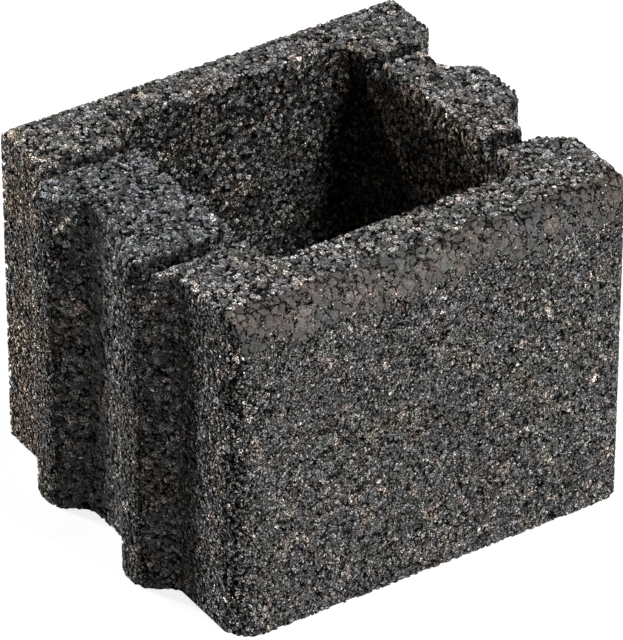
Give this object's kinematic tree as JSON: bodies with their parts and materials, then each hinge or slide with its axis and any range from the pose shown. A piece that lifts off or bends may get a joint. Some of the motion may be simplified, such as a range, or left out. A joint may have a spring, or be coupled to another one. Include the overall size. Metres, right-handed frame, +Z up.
{
  "type": "wall block",
  "caption": "Hollow wall block of dark open-grained concrete, with a smooth face, a through cavity, rounded ribs on one end and matching grooves on the other.",
  "frame": {"origin": "middle of the underside of the block's box, ribs included", "axes": "+X along the wall towards the grooved end, +Y into the wall away from the smooth face, +Z up"},
  "size_m": [0.265, 0.228, 0.2],
  "materials": {
    "concrete": "open-grained dry-cast concrete, anthracite, rough"
  },
  "bodies": {
    "root": {"wall_block": "concrete"}
  },
  "joints": []
}
